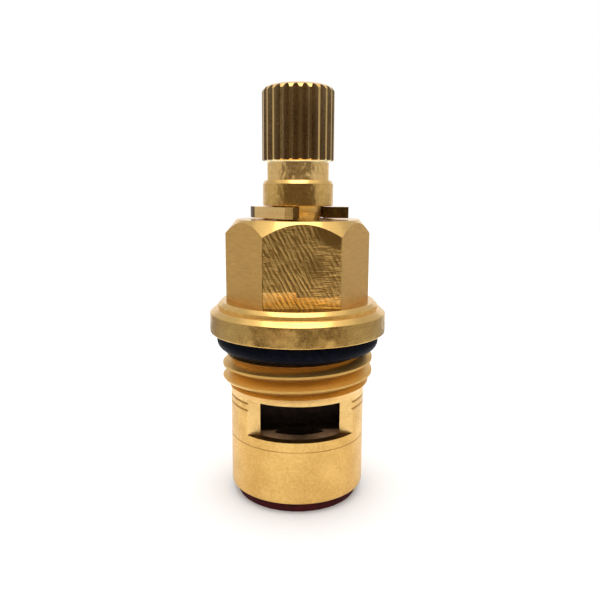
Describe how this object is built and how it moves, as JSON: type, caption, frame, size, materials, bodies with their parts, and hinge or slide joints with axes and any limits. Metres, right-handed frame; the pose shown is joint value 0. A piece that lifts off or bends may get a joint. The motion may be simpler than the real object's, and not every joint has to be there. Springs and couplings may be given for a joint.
{
  "type": "ceramic disc tap cartridge",
  "caption": "Brass quarter-turn tap cartridge with a splined spindle, hexagon, flange, pipe thread and windowed barrel; ceramic discs open and close the water way.",
  "frame": {"origin": "on the spindle axis, level with the lower face of the seat seal", "axes": "+Z along the spindle axis towards the splined head, Y through the two windows"},
  "size_m": [0.024, 0.024, 0.0551],
  "materials": {
    "body_brass": "machined, bright",
    "spindle_brass": "machined, bright",
    "clip_brass": "stamped",
    "black_rubber": "smooth moulded",
    "red_rubber": "matt moulded",
    "dark_ceramic": "lapped",
    "white_ceramic": "lapped",
    "support_plastic": "moulded",
    "washer_plastic": "moulded"
  },
  "bodies": {
    "body": {"valve_body": "body_brass", "body_o_ring": "black_rubber", "seat_seal": "red_rubber", "seal_support_ring": "support_plastic", "fixed_disc": "white_ceramic", "thrust_washer": "washer_plastic"},
    "spindle": {"spindle": "spindle_brass", "retaining_clip": "clip_brass", "upper_spindle_o_ring": "black_rubber", "lower_spindle_o_ring": "black_rubber", "moving_disc": "dark_ceramic"}
  },
  "joints": [
    {"name": "spindle_turn", "type": "hinge", "parent": "body", "child": "spindle", "pos_m": [0, 0, 0.02], "axis": [0, 0, 1], "range_deg": [0, 90]}
  ]
}
